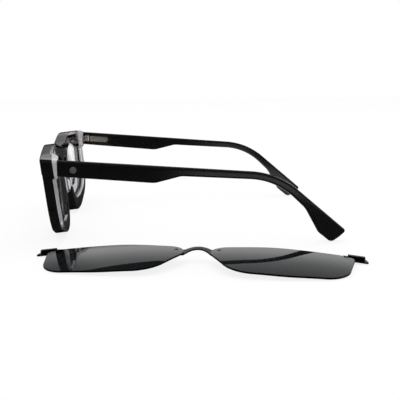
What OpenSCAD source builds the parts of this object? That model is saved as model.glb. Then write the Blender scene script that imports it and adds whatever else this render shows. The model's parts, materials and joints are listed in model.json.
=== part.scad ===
// Clip-on eyeglasses: a laminated acetate frame on spring hinges, standing with its
// temples open, and a magnetic sun clip lying in front of it, convex side up.
// Axes: +X to the wearer's left, +Y back along the temples, +Z up.
// Origin: on the surface that the frame stands on, midway between the temples and
// in the plane where the temples meet the front.

/* [Front] */
// Radius of the bow of the front, seen from above
bow_r = 700; // [500:10:1500]
// Forward lean of the front, degrees
front_tilt = 6.5; // [2:0.5:10]
// Distance of the front's foot ahead of the temple joint
foot_ahead = 6.3; // [5.5:0.1:8]
// Thickness of the dark front layer at the rims
dark_t = 4.4; // [3.6:0.1:5]
// Thickness of the dark layer at the endpieces
dark_end_t = 5.4; // [5:0.1:6]
// Thickness of the clear back layer
clear_t = 1.6; // [1.2:0.1:2.4]
// Height of the endpieces where they meet the temples
endpiece_h = 7.7; // [6.5:0.1:8.5]
// Depth of the underside of the endpieces below the brow
endpiece_down = 10.2; // [9.6:0.1:11]
// How far an endpiece stands out past the rim
endpiece_out = 3.2; // [2.8:0.1:4]
// Length of the thick part of the endpieces
endpiece_len = 11.5; // [9:0.5:13]
// Length of the part of an endpiece that reaches back to the temple joint
endpiece_flat = 7.4; // [7:0.1:8.5]
// Depth of the underside of the bridge below the brow
bridge_down = 10; // [9:0.1:12]
// Height of the bridge
bridge_h = 6.6; // [5:0.1:8]
// Half width of the nose gap just below the bridge
nose_gap = 5.6; // [5:0.1:6.5]

/* [Lens openings] */
// Width of a lens opening
lens_w = 53; // [50:0.5:54]
// Height of a lens opening
lens_h = 32.6; // [31:0.1:34]
// Distance between the two lens openings
lens_gap = 17; // [16:0.5:20]
// Width of the rim beside a lens opening
rim_side = 4.3; // [3.6:0.1:5]
// Width of the rim above a lens opening
rim_top = 4.7; // [4:0.1:5.5]
// Width of the rim below a lens opening
rim_bottom = 5.9; // [5:0.1:7]
// Depth of the lens groove in the rim
groove_d = 0.7; // [0.4:0.1:1.0]
// Thickness of a spectacle lens
lens_t = 1.9; // [1.4:0.1:2.2]
// Radius of the front surface of a spectacle lens
lens_r = 260; // [220:10:400]

/* [Nose pads] */
// Length of a nose pad
pad_len = 12; // [9:0.5:14]
// Width of a nose pad
pad_w = 4.2; // [3.5:0.1:5]
// Height of a nose pad over the rim
pad_h = 2.4; // [1.6:0.1:3]

/* [Temples] */
// Distance from the temple joint to the ear bend
temple_bend_y = 100; // [95:0.5:108]
// Distance from the temple joint to the end of the tip
temple_tip_y = 132.6; // [128:0.5:140]
// Height of a temple where it meets the front
temple_h = 7.2; // [6.5:0.1:7.4]
// Thickness of a temple at the joint
temple_t = 4.0; // [3.6:0.1:4.6]
// Thickness of a temple at the tip
tip_t = 3.0; // [2.6:0.1:3.6]
// Height of the slim part of a temple
slim_h = 4.2; // [3.8:0.1:5]
// Distance from the joint to the lowest point of the belly
belly_y = 43.5; // [38:0.5:46]
// Downward slope of a temple, degrees
temple_slope = 4.37; // [3:0.1:5]
// Inward slope of a temple, degrees
toe_in = 1.9; // [0:0.1:3]
// Inward curl of a temple behind the ear bend, per square millimetre
tip_curl = 0.001; // [0:0.0005:0.002]
// Width of the core wire
core_w = 1.2; // [0.8:0.1:1.6]
// Thickness of the core wire
core_t = 0.9; // [0.6:0.1:1.2]
// Diameter of the round stud on a temple
stud_d = 3.0; // [2:0.1:4]
// Distance from the joint to the round stud
stud_y = 7.2; // [5:0.1:12]

/* [Spring hinges] */
// Distance of a hinge pin behind the temple joint
pin_y = 2.6; // [2.4:0.05:3]
// Distance of a hinge pin inside the temple's inner face
pin_inset = 1.65; // [1.55:0.05:2]
// Height of the hinge barrel
barrel_h = 3.0; // [2.6:0.1:3.4]
// Radius of the hinge barrel
barrel_r = 1.5; // [1.3:0.05:1.5]
// Height of the middle knuckle
middle_h = 1.1; // [0.9:0.05:1.3]
// Radius of the hinge screw
screw_r = 0.6; // [0.5:0.05:0.7]
// Radius of the head of the hinge screw
screw_head_r = 1.05; // [0.9:0.05:1.3]
// Length of the spring housing
housing_len = 10.7; // [10:0.1:13]
// Thickness of the spring housing
housing_t = 2.8; // [2.6:0.1:3.2]
// Radius of the slider rod
rod_r = 0.45; // [0.35:0.05:0.5]
// Radius of the spring chamber
chamber_r = 0.85; // [0.8:0.05:0.95]
// Travel of the spring hinge
flex_travel = 1.2; // [0.8:0.1:1.4]

/* [Sun clip] */
// Thickness of a sun lens
sun_t = 0.8; // [0.7:0.05:1.2]
// Radius of the front surface of a sun lens
sun_r = 400; // [300:10:500]
// Reach of a sun lens over the opening at the temple side
sun_over_side = 3.0; // [2:0.1:3.4]
// Reach of a sun lens over the opening at the top and the bottom
sun_over_edge = 0.3; // [0.1:0.1:1.2]
// Reach of a sun lens over the opening at the bridge
sun_over_nose = 2.8; // [2.4:0.1:4]
// How far a tab reaches past the end of the front
tab_past = 2.4; // [1:0.1:3]
// How far a tab reaches over its sun lens
tab_over = 5.6; // [4:0.1:6.4]
// Height of a tab
tab_h = 5.6; // [5:0.1:6.5]
// Thickness of a tab and of the clip's bridge
strip_t = 0.7; // [0.6:0.05:1]
// How far the magnet bar lies below the middle of a tab
bar_down = 0.1; // [0:0.1:0.6]
// Length of the magnet bar on a tab
bar_len = 7.2; // [6:0.1:8]
// Height of the magnet bar on a tab
bar_h = 1.8; // [1.6:0.1:2.2]
// How far the magnet bar stands out
bar_t = 1.4; // [1.2:0.1:2]
// Height of the clip's bridge strip at its middle
strip_h = 3.0; // [2.4:0.1:3.6]
// Height of a foot of the clip's bridge strip
foot_h = 5.4; // [4:0.1:5.6]
// Rise of the clip's bridge strip
strip_rise = 3.1; // [2:0.1:4]
// How far the clip's bridge strip is bent forward
strip_up = 1.0; // [0.6:0.1:2]
// Radius of the clip's rivets
rivet_r = 0.5; // [0.4:0.05:0.7]

/* [Magnets] */
// Diameter of a docking magnet in the front
magnet_d = 3.0; // [2.4:0.1:3.4]
// Thickness of a docking magnet in the front
magnet_t = 1.2; // [0.8:0.1:1.6]
// Distance of a docking magnet from the end of the front
magnet_inset = 3.2; // [2.8:0.1:4]
// Height of a docking magnet over the underside of the endpiece
magnet_up = 2.5; // [2.3:0.1:4]

/* [Where the clip lies] */
// How far the clip lies to the wearer's left of the frame
clip_x = 105.7; // [100:0.5:160]
// How far the clip's middle lies behind the temple joint
clip_y = 59.6; // [40:0.5:80]
// How far the clip is turned on the table, degrees
clip_turn = 10; // [0:0.5:20]

/* [Hidden] */
$fn = 64;
left = 1;
right = -1;
// Fits and gaps
fit = 0.03;
seat = 0.02;
joint_gap = 0.15;
past = 0.5;
big = 200;
deep = 30;
steps = 7;
// Places on the front, measured along its own leaning plane
eye_x = (lens_gap + lens_w) / 2;
eye_v = rim_bottom + lens_h / 2;
half_w = lens_w / 2;
half_h = lens_h / 2;
rim_x = eye_x + half_w + rim_side;
end_x = rim_x + endpiece_out;
brow_v = eye_v + half_h + rim_top;
endpiece_v = brow_v - endpiece_down;
bridge_v = brow_v - bridge_down;
all_t = dark_t + clear_t;
end_top_v = endpiece_v + endpiece_h;
lap = 0.3;
slant_x = endpiece_len - endpiece_flat;
slant_y = clear_t + 1;
magnet_x = end_x - magnet_inset;
magnet_v = endpiece_v + magnet_up;
// Corners of a lens opening, anticlockwise from its lower inner corner, from its middle:
// across and up as shares of half its width and half its height, radius as a share of half its width
eye_shape = [
    [-0.626, -0.945, 0.51],
    [0.109, -1.006, 2.264],
    [0.917, -0.7485, 0.472],
    [1.03, 0.6258, 0.189],
    [-0.121, 1.089, 2.04],
    [-0.996, 0.632, 0.189]];
eye = [for (c = eye_shape) [eye_x + half_w * c[0], eye_v + half_h * c[1], half_w * c[2]]];
// Corners of a sun lens in the same shares, and how the clip's reach moves each of them out
sun_shape = [
    [-0.713, -0.885, 0.581],
    [0.109, -0.982, 2.264],
    [0.879, -0.828, 0.438],
    [1.0565, 0.736, 0.174],
    [-0.121, 0.9265, 2.04],
    [-1.171, 0.71, 0.2755]];
sun_reach = [
    [0, -sun_over_edge],
    [0, -sun_over_edge],
    [sun_over_side, -sun_over_edge],
    [sun_over_side, sun_over_edge],
    [0, sun_over_edge],
    [-sun_over_nose, sun_over_edge]];
sun = [for (i = [0 : len(sun_shape) - 1])
    [eye_x + half_w * sun_shape[i][0] + sun_reach[i][0],
        eye_v + half_h * sun_shape[i][1] + sun_reach[i][1],
        half_w * sun_shape[i][2]]];
sun_in_x = sun[5][0] + 0.61 * sun[5][2];
lens_mid = -eye_x * eye_x / bow_r / 2 - dark_t / 2 + 1.3;
// Temple places
butt_top_z = end_top_v - 0.44;
slope = tan(temple_slope);
belly_drop = 0.15;
slim_y = belly_y + 12;
hook = 0.865;
// Hinge places, in a frame at the pin that follows the temple
pin_x = end_x - temple_t - pin_inset;
pin_z = butt_top_z - temple_h / 2 + 0.06;
housing_y = barrel_r + 0.3;
housing_end = housing_y + housing_len;
housing_x = pin_inset + 0.3 - housing_t / 2;
mouth_d = 1.8;
wall_d = 1.0;
chamber_y = housing_y + mouth_d + wall_d;
chamber_end = housing_end - 0.5;
nut_len = 1.0;
nut_y = chamber_end - flex_travel - nut_len;
block_w = 1.6;
block_h = middle_h;
knuckle_gap = 0.05;
leaf_w = 3.2;
leaf_sunk = 1.2;
leaf_out = pin_y - barrel_r - 0.3;
// Clip places, measured from the middle of the lens openings
wrap = asin(eye_x / bow_r);
sun_mid_x = eye_x - sun_r * sin(wrap);
tab_in_x = sun[3][0] - tab_over;
tab_len = end_x + tab_past - tab_in_x;
tab_x = tab_in_x + tab_len / 2;
bar_in_x = magnet_x + 0.4 - bar_len / 2;
rivet_edge = 1.3;
rivet_down = 1.7;
bar_v = magnet_v - eye_v;
tab_v = bar_v + bar_down;
tab_gap = 0.05;
tab_lon = asin((tab_x - sun_mid_x) / sun_r);
tab_lat = asin(tab_v / sun_r);
foot_v = sun[5][1] - eye_v - 3.5;
foot_over = 5.2;
strip_lon = asin((sun_in_x + 3.4 - sun_mid_x) / sun_r);

// Points of an arc that rounds corner b between a and c with radius r
function unit(v) = v / norm(v);
function round_corner(a, b, c, r) =
    let (p = unit(a - b), q = unit(c - b),
        half = acos(max(-1, min(1, p * q))) / 2,
        mid = b + unit(p + q) * r / sin(half),
        s = b + p * r / tan(half) - mid,
        e = b + q * r / tan(half) - mid,
        from = atan2(s[1], s[0]),
        turn = atan2(s[0] * e[1] - s[1] * e[0], s * e))
    [for (k = [0 : steps]) mid + r * [cos(from + turn * k / steps), sin(from + turn * k / steps)]];
function xy(p) = [p[0], p[1]];
// Outline of a closed list of corners, each [x, y, radius]
function rounded(c) = let (n = len(c))
    [for (i = [0 : n - 1])
        each (c[i][2] > 0
            ? round_corner(xy(c[(i + n - 1) % n]), xy(c[i]), xy(c[(i + 1) % n]), c[i][2])
            : [xy(c[i])])];
// The same corners with every side moved out by d, listed anticlockwise
function side_normal(a, b) = let (t = unit(xy(b) - xy(a))) [t[1], -t[0]];
function grown(c, d) = let (n = len(c))
    [for (i = [0 : n - 1])
        let (m = side_normal(c[(i + n - 1) % n], c[i]), k = side_normal(c[i], c[(i + 1) % n]),
            p = xy(c[i]) + d * (m + k) / (1 + m * k))
        [p[0], p[1], c[i][2] + d]];
function mirrored(c) = [for (i = [len(c) - 1 : -1 : 0]) [-c[i][0], c[i][1], c[i][2]]];

// Corners of the right half of the front, from under the bridge out and round to its top
half_front = [
    [nose_gap, bridge_v, 4.2],
    [nose_gap + 8.2, 0.8, 0.56 * half_w],
    [eye_x + 1, -0.58, 1.9 * half_w],
    [rim_x - 1.8, 8.2, 19],
    [rim_x, endpiece_v - 1.6, 0],
    [end_x, endpiece_v - 1.6, 0],
    [end_x, end_top_v, 1.6],
    [eye_x - 6, brow_v + 0.6, 50],
    [8, bridge_v + bridge_h, 14]];
front = concat(half_front, mirrored(half_front));

// Puts children on the front's leaning plane, with x across, y up the plane and z forward
module on_front() {
    translate([0, -foot_ahead, 0])
        rotate([90 + front_tilt, 0, 0])
            children();
}
// Keeps the left side as drawn, or mirrors it to the right
module to_side(side) {
    mirror([side == right ? 1 : 0, 0, 0])
        children();
}
// A plate bent to the bow of the front, between two depths behind its face
module bow_shell(from, to) {
    translate([0, -big / 4, -bow_r])
        rotate([-90, 0, 0])
            difference() {
                cylinder(r = bow_r - from, h = big, $fn = 256);
                translate([0, 0, -past])
                    cylinder(r = bow_r - to, h = big + 2 * past, $fn = 256);
            }
}
// Puts children on the face of the front at x, v, with z pointing out of it
module on_bow(x, v) {
    translate([0, v, -bow_r])
        rotate([0, asin(x / bow_r), 0])
            translate([0, 0, bow_r])
                children();
}
module front_outline(from, to) {
    translate([0, 0, from])
        linear_extrude(to - from)
            polygon(rounded(front));
}
module eye_prism(grow, from, to) {
    for (side = [left, right])
        to_side(side)
            translate([0, 0, from])
                linear_extrude(to - from)
                    polygon(rounded(grown(eye, grow)));
}
// A spherical dish between two radii from one centre, over one eye
module lens_dish(r_out, r_in) {
    translate([eye_x - lens_r * sin(wrap), eye_v, lens_mid - lens_r * cos(wrap)])
        difference() {
            sphere(r = r_out, $fn = 128);
            sphere(r = r_in, $fn = 128);
        }
}
module lens_solid(extra) {
    intersection() {
        translate([0, 0, -deep])
            linear_extrude(deep + 5)
                polygon(rounded(grown(eye, groove_d + extra)));
        lens_dish(lens_r + extra, lens_r - lens_t - extra);
    }
}
// The block at each end of the front that carries the hinge
module endpiece_block() {
    translate([end_x - endpiece_len, endpiece_v - 1.2, -deep])
        cube([endpiece_len + past, endpiece_h + 3, deep + 5]);
}
// What is cut off so that an endpiece runs on in line with its temple
module end_trims() {
    top_fall = atan2(brow_v + 0.6 - end_top_v, end_x - eye_x + 6);
    trim_len = endpiece_len + 1;
    blend_len = 18;
    blend_fall = 4;
    for (side = [left, right])
        to_side(side) {
            translate([end_x, 0, butt_top_z])
                rotate([-temple_slope, top_fall, 0])
                    translate([-trim_len, -deep, 0])
                        cube([2 * trim_len, 2 * deep, deep]);
            translate([end_x - trim_len, 0, butt_top_z + trim_len * tan(top_fall)])
                rotate([-temple_slope, top_fall + blend_fall, 0])
                    translate([-blend_len, -deep, 0])
                        cube([blend_len + past, 2 * deep, deep]);
            translate([rim_x, 0, butt_top_z - temple_h])
                rotate([-temple_slope, 0, 0])
                    translate([0, -deep, -5])
                        cube([endpiece_len, 2 * deep, 5]);
        }
}
// Space behind the plane where the temples meet the front
module behind_joint() {
    translate([-big, 0, -big])
        cube([2 * big, big, 2 * big]);
}
module magnet_pockets() {
    for (side = [left, right])
        to_side(side)
            on_bow(magnet_x, magnet_v)
                translate([0, 0, -magnet_t - seat])
                    cylinder(d = magnet_d + 2 * seat, h = magnet_t + past);
}

module front_dark_layer() {
    color("#141414")
        difference() {
            intersection() {
                on_front()
                    front_outline(-deep, 5);
                union() {
                    on_front()
                        bow_shell(0, dark_t);
                    dark_step();
                }
            }
            on_front() {
                eye_prism(0, -deep, 5);
                for (side = [left, right])
                    to_side(side)
                        lens_solid(seat);
                magnet_pockets();
            }
            end_trims();
        }
}
// The step by which the dark layer is thicker at the endpieces
module dark_step() {
    on_front()
        for (side = [left, right])
            to_side(side)
                intersection() {
                    endpiece_block();
                    bow_shell(dark_t - past, dark_end_t);
                }
}
// The clear blocks that reach back from the sheet to the temples
module clear_blocks() {
    difference() {
        on_front()
            intersection() {
                front_outline(-deep, 5);
                bow_shell(all_t - lap, deep);
                for (side = [left, right])
                    to_side(side)
                        endpiece_block();
            }
        for (side = [left, right])
            to_side(side)
                translate([end_x - endpiece_flat, 0, 0])
                    linear_extrude(big)
                        polygon([[0, 0], [0, past], [-slant_x, past], [-slant_x, -slant_y]]);
    }
}
module front_clear_layer() {
    color("#c9c9cc", 0.6)
        difference() {
            union() {
                on_front()
                    intersection() {
                        front_outline(-deep, 5);
                        bow_shell(dark_t, all_t);
                    }
                clear_blocks();
            }
            dark_step();
            on_front()
                eye_prism(0, -deep, 5);
            behind_joint();
            end_trims();
            for (side = [left, right])
                to_side(side)
                    leaf_body(seat);
        }
}
module lens(side) {
    color("#e9eef2", 0.25)
        on_front()
            to_side(side)
                lens_solid(0);
}
// A nose pad: a slice of a ball on the back of the rim, along the nose side
module nose_pad(side) {
    half_l = pad_len / 2;
    ball_r = (half_l * half_l + pad_h * pad_h) / pad_h / 2;
    lean = atan2(8.2, bridge_v);
    pad_v = bridge_v - 12;
    pad_x = nose_gap + (bridge_v - pad_v) * tan(lean) + pad_w / 2 + 0.5;
    color("#c9c9cc", 0.6)
        on_front()
            to_side(side)
                on_bow(pad_x, pad_v)
                    translate([0, 0, -all_t - seat])
                        rotate([0, 180, -lean])
                            intersection() {
                                translate([0, 0, pad_h - ball_r])
                                    sphere(r = ball_r, $fn = 96);
                                union() {
                                    translate([-pad_w / 2, -half_l + pad_w / 2, 0])
                                        cube([pad_w, pad_len - pad_w, pad_h + past]);
                                    for (end = [-1, 1])
                                        translate([0, end * (half_l - pad_w / 2), 0])
                                            cylinder(d = pad_w, h = pad_h + past);
                                }
                            }
}
module dock_magnet(side) {
    color("silver")
        on_front()
            to_side(side)
                on_bow(magnet_x, magnet_v)
                    translate([0, 0, -magnet_t])
                        cylinder(d = magnet_d, h = magnet_t);
}

// Puts children at a hinge pin, with y along the temple and z along the pin
module at_pin() {
    translate([pin_x, pin_y, pin_z])
        rotate([-temple_slope, 0, toe_in])
            children();
}
module knuckle(from, to, r, reach) {
    translate([0, 0, from]) {
        cylinder(r = r, h = to - from);
        translate([-r, -reach, 0])
            cube([2 * r, reach, to - from]);
    }
}
// The leaf's plate, let into the endpiece
module leaf_body(extra) {
    translate([pin_x - leaf_w / 2 - extra, -leaf_sunk - extra, pin_z - barrel_h / 2 - extra])
        cube([leaf_w + 2 * extra, leaf_sunk + leaf_out + extra, barrel_h + 2 * extra]);
}
module hinge_leaf(side) {
    gap = middle_h / 2 + knuckle_gap;
    color("#c8bfae")
        to_side(side)
            difference() {
                union() {
                    leaf_body(0);
                    intersection() {
                        at_pin()
                            for (end = [-1, 1])
                                knuckle(end > 0 ? gap : -barrel_h / 2, end > 0 ? barrel_h / 2 : -gap,
                                    barrel_r, barrel_r + 1);
                        translate([0, leaf_out - 0.4, 0])
                            cube([big, big, big]);
                    }
                }
                at_pin()
                    cylinder(r = screw_r + fit, h = 3 * barrel_h, center = true);
            }
}
module hinge_screw(side) {
    slot = 0.3;
    head_h = 0.5;
    color("#b8b4ac")
        to_side(side)
            at_pin()
                difference() {
                    union() {
                        translate([0, 0, -barrel_h / 2])
                            cylinder(r = screw_r, h = barrel_h + seat);
                        translate([0, 0, barrel_h / 2 + seat])
                            cylinder(r = screw_head_r, h = head_h);
                    }
                    translate([-big / 2, -slot / 2, barrel_h / 2 + head_h - slot + seat])
                        cube([big, slot, 1]);
                }
}
// The slider: the middle knuckle, a block that runs in the housing's mouth, and a rod
module hinge_slider(side) {
    color("#b8b4ac")
        to_side(side)
            at_pin()
                difference() {
                    union() {
                        translate([0, 0, -middle_h / 2])
                            cylinder(r = barrel_r, h = middle_h);
                        translate([housing_x - block_w / 2, 0, -block_h / 2])
                            cube([block_w, housing_y + mouth_d - fit, block_h]);
                        translate([housing_x, housing_y, 0])
                            rotate([-90, 0, 0])
                                cylinder(r = rod_r, h = nut_y + nut_len - housing_y);
                    }
                    cylinder(r = screw_r + fit, h = 3 * barrel_h, center = true);
                }
}
module slider_nut(side) {
    color("#b8b4ac")
        to_side(side)
            at_pin()
                translate([housing_x, nut_y, 0])
                    rotate([-90, 0, 0])
                        difference() {
                            cylinder(r = chamber_r - fit, h = nut_len);
                            translate([0, 0, -past])
                                cylinder(r = rod_r + seat / 2, h = nut_len + 2 * past);
                        }
}
module flex_spring(side) {
    color("#9a9a9a")
        to_side(side)
            at_pin()
                translate([housing_x, chamber_y + fit, 0])
                    rotate([-90, 0, 0])
                        difference() {
                            cylinder(r = chamber_r - fit, h = nut_y - chamber_y - 2 * fit);
                            translate([0, 0, -past])
                                cylinder(r = rod_r + fit, h = nut_y);
                        }
}
module housing_body(extra) {
    translate([housing_x - housing_t / 2 - extra, housing_y - extra, -barrel_h / 2 - extra])
        cube([housing_t + 2 * extra, housing_len - barrel_h / 2 + extra, barrel_h + 2 * extra]);
    translate([housing_x - housing_t / 2 - extra, housing_end - barrel_h / 2, 0])
        rotate([0, 90, 0])
            cylinder(r = barrel_h / 2 + extra, h = housing_t + 2 * extra);
}
module spring_housing(side) {
    groove_w = 0.3;
    groove_l = 3;
    color("#c8bfae")
        to_side(side)
            at_pin()
                difference() {
                    housing_body(0);
                    translate([housing_x - block_w / 2 - fit, housing_y - past, -block_h / 2 - fit])
                        cube([block_w + 2 * fit, mouth_d + past, block_h + 2 * fit]);
                    translate([housing_x, housing_y, 0])
                        rotate([-90, 0, 0])
                            cylinder(r = rod_r + fit, h = housing_len / 2);
                    translate([housing_x, chamber_y, 0])
                        rotate([-90, 0, 0])
                            cylinder(r = chamber_r, h = chamber_end - chamber_y);
                    translate([housing_x - housing_t / 2 - past, housing_end - 1.2 - groove_l, -groove_w / 2])
                        cube([past + 0.15, groove_l, groove_w]);
                }
}

// Top edge of a temple at distance y behind the joint, where it is straight
function temple_top(y) = butt_top_z - slope * y;
// Side view of a temple, corners listed anticlockwise from the lower front one
bend_z = temple_top(temple_bend_y);
temple_side = [
    [joint_gap, butt_top_z - temple_h, 0],
    [belly_y, temple_top(belly_y) - temple_h - belly_drop - 0.4, 10],
    [slim_y, temple_top(slim_y) - slim_h + 0.3, 8],
    [temple_bend_y - 1.2, temple_top(temple_bend_y - 1.2) - slim_h + 0.85, 32],
    [1.127 * temple_bend_y, 0.488 * bend_z, 12],
    [1.189 * temple_bend_y, 0.1386 * bend_z, 3],
    [temple_tip_y - 7.3, -1.1, 2.6],
    [temple_tip_y, 4.6, 1.2],
    [temple_bend_y, bend_z, 38],
    [joint_gap, temple_top(joint_gap), 0]];
// Outer face of a temple, seen from above
curl_y = 0.95 * temple_bend_y;
curl_step = 0.07 * temple_bend_y;
function curl(y) = let (d = max(0, y - curl_y)) tip_curl * d * d;
function outer_x(y) = end_x - tan(toe_in) * y - curl(y);
function thick_at(y) = temple_t + (tip_t - temple_t) * y / temple_tip_y;
plan_y = concat([0], [for (k = [0 : 7]) curl_y + k * curl_step]);
// Plan view of a strip of a temple; the depths are fractions of its thickness
function strip_plan(from, to) = concat(
    [for (y = plan_y) [outer_x(y) - from * thick_at(y), y]],
    [for (i = [len(plan_y) - 1 : -1 : 0]) [outer_x(plan_y[i]) - to * thick_at(plan_y[i]), plan_y[i]]]);
module side_prism(corners) {
    rotate([90, 0, 90])
        linear_extrude(big)
            polygon(rounded(corners));
}
module core_solid() {
    half = core_t / 2 / temple_t;
    mid = slim_h / 2;
    w = core_w / 2;
    wire_bend_r = 34;
    start = housing_end + pin_y + 3;
    end_y = 1.16 * temple_bend_y;
    end_z = bend_z - hook * (end_y - temple_bend_y) - mid;
    wire = [
        [start, temple_top(start) - mid - w, 0],
        [temple_bend_y - 1, bend_z - mid - w, wire_bend_r],
        [end_y, end_z - w, 0],
        [end_y, end_z + w, 0],
        [temple_bend_y - 0.4, bend_z - mid + w, wire_bend_r + 2],
        [start, temple_top(start) - mid + w, 0]];
    intersection() {
        side_prism(wire);
        linear_extrude(big)
            polygon(strip_plan(0.5 - half, 0.5 + half));
    }
}
module stud_solid(extra) {
    stud_z = temple_top(stud_y) - temple_h / 2 - 0.15;
    translate([outer_x(stud_y), stud_y, stud_z])
        rotate([0, 90, 0])
            rotate([-toe_in, 0, 0]) {
                translate([0, 0, -0.4 - extra])
                    cylinder(d = stud_d + 2 * extra, h = 0.6 + extra);
                translate([0, 0, -1.4 - extra])
                    cylinder(d = stud_d / 3 + 2 * extra, h = 1.2);
            }
}
module temple(side) {
    color("#141414")
        to_side(side)
            difference() {
                intersection() {
                    side_prism(temple_side);
                    linear_extrude(big)
                        polygon(strip_plan(0, 1));
                }
                at_pin()
                    housing_body(seat);
                core_solid();
                stud_solid(seat);
            }
}
module temple_core(side) {
    color("silver")
        to_side(side)
            core_solid();
}
module temple_stud(side) {
    color("silver")
        to_side(side)
            stud_solid(0);
}

// The clip is drawn as it docks, measured from the middle of the openings, z forward.
// Lying down, its outer ends and its lower edge rest on the table.
low_x = sun[2][0] - 2.4;
low_v = sun[2][1] - eye_v + 1.7;
tab_low_v = tab_v - tab_h / 2;
function sun_drop(x, v) = (pow(x - sun_mid_x, 2) + v * v) / sun_r / 2;
tab_back = sun_drop(tab_x, tab_v) + sun_t + tab_gap + strip_t
    + tan(tab_lon) * tab_len / 2 - tan(tab_lat) * tab_h / 2;
edge_back = sun_drop(low_x, low_v) + sun_t;
clip_tilt = atan2(tab_back - edge_back, tab_low_v - low_v);
lie_gap = 0.08;
clip_z = edge_back * cos(clip_tilt) - low_v * sin(clip_tilt) + lie_gap;
module lying() {
    translate([clip_x, clip_y, clip_z])
        rotate([0, 0, 90 - clip_turn])
            rotate([clip_tilt, 0, 0])
                children();
}
module sun_dish(r_out, r_in) {
    translate([sun_mid_x, 0, -sun_r])
        difference() {
            sphere(r = r_out, $fn = 128);
            sphere(r = r_in, $fn = 128);
        }
}
// Puts children on the back of a sun lens, by angles from the middle of its ball
module on_sun(lon, lat) {
    translate([sun_mid_x, 0, -sun_r])
        rotate([-lat, lon, 0])
            translate([0, 0, sun_r - sun_t])
                children();
}
module tab_rivet_place() {
    on_sun(tab_lon, tab_lat)
        translate([rivet_edge - tab_len / 2, -rivet_down, 0])
            children();
}
module bridge_rivet_place() {
    on_sun(strip_lon, asin(foot_v / sun_r))
        children();
}
module rivet_shaft(extra) {
    translate([0, 0, -tab_gap - strip_t - past])
        cylinder(r = rivet_r + extra, h = tab_gap + strip_t + sun_t + 2 * past);
}
module sun_lens(side) {
    color("#3a3d40", 0.85)
        lying()
            to_side(side)
                difference() {
                    intersection() {
                        translate([0, -eye_v, -deep])
                            linear_extrude(deep + 5)
                                polygon(rounded(sun));
                        sun_dish(sun_r, sun_r - sun_t);
                    }
                    tab_rivet_place()
                        rivet_shaft(seat);
                    bridge_rivet_place()
                        rivet_shaft(seat);
                }
}
// A strip arched and bent forward over the nose, from the back of one sun lens to the other
function hump(share) = 1 - share * share;
module clip_bridge() {
    foot_x = sun_in_x + foot_over;
    foot_low = foot_v - foot_h / 2;
    foot_top = foot_v + foot_h / 2;
    mid_v = foot_v + strip_rise;
    low_reach = sun_in_x + 0.3;
    top_reach = sun_in_x + 1.8;
    bend_x = sun_in_x - 0.1;
    shares = [for (k = [-6 : 6]) k / 6];
    foot_z = -sun_drop(sun_in_x, foot_top) - sun_t - seat;
    arch = concat(
        [[-foot_x, foot_low, 1]],
        [for (a = shares) [low_reach * a,
            foot_low + (mid_v - strip_h / 2 - foot_low) * hump(a), 0]],
        [[foot_x, foot_low, 1], [foot_x, foot_top, 1]],
        [for (a = shares) [-top_reach * a,
            foot_top + (mid_v + strip_h / 2 - foot_top) * hump(a), 0]],
        [[-foot_x, foot_top, 1]]);
    bent_top = concat(
        [[-foot_x - 1, foot_z]],
        [for (a = shares) [bend_x * a, foot_z + strip_up * hump(a)]],
        [[foot_x + 1, foot_z]]);
    n = len(bent_top);
    bent = concat(bent_top, [for (k = [1 : n]) bent_top[n - k] - [0, strip_t]]);
    color("#26282a")
        lying()
            difference() {
                intersection() {
                    translate([0, 0, -deep])
                        linear_extrude(deep + 5)
                            polygon(rounded(arch));
                    translate([0, big / 2, 0])
                        rotate([90, 0, 0])
                            linear_extrude(big)
                                polygon(bent);
                }
                for (side = [left, right])
                    to_side(side)
                        bridge_rivet_place()
                            rivet_shaft(seat);
            }
}
module bar_place() {
    on_sun(tab_lon, tab_lat)
        translate([bar_in_x - tab_x, -bar_down - bar_h / 2, -tab_gap])
            children();
}
module magnet_solid(extra) {
    bar_place()
        translate([0.5 - extra, 0.35 - extra, -strip_t / 2])
            cube([bar_len - 1 + 2 * extra, bar_h - 0.7 + 2 * extra, bar_t - 0.4 + strip_t / 2 + extra]);
}
module clip_tab(side) {
    w = tab_len / 2;
    h = tab_h / 2;
    plate = [[-w, -h, 1.2], [w - 0.6, -h, 0.6], [w, -h + 0.6, 0.8], [w - 1.6, h, 0.8], [-w, h, 1.2]];
    color("#26282a")
        lying()
            to_side(side)
                difference() {
                    on_sun(tab_lon, tab_lat)
                        translate([0, 0, -tab_gap - strip_t])
                            linear_extrude(strip_t)
                                polygon(rounded(plate));
                    tab_rivet_place()
                        rivet_shaft(seat);
                    magnet_solid(seat);
                }
}
module clip_bar(side) {
    color("#26282a")
        lying()
            to_side(side)
                difference() {
                    bar_place()
                        cube([bar_len, bar_h, bar_t]);
                    magnet_solid(seat);
                    sun_cut();
                }
}
// Room for the sun lens beside the magnet bar
module sun_cut() {
    intersection() {
        translate([0, -eye_v, -deep])
            linear_extrude(deep + 5)
                polygon(rounded(grown(sun, fit)));
        sun_dish(sun_r + 0.2, sun_r - sun_t - tab_gap - fit);
    }
}
module clip_magnet(side) {
    color("silver")
        lying()
            to_side(side)
                magnet_solid(0);
}
// A rivet with a low head on the front of the lens and one behind the strip
module rivet() {
    head_h = 0.25;
    head_r = 1.7 * rivet_r;
    translate([0, 0, -tab_gap - strip_t])
        cylinder(r = rivet_r, h = tab_gap + strip_t + sun_t + seat);
    translate([0, 0, sun_t + seat])
        cylinder(r = head_r, h = head_h);
}
module tab_rivet(side) {
    color("silver")
        lying()
            to_side(side)
                tab_rivet_place()
                    rivet();
}
module bridge_rivet(side) {
    color("silver")
        lying()
            to_side(side)
                bridge_rivet_place()
                    rivet();
}

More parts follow.
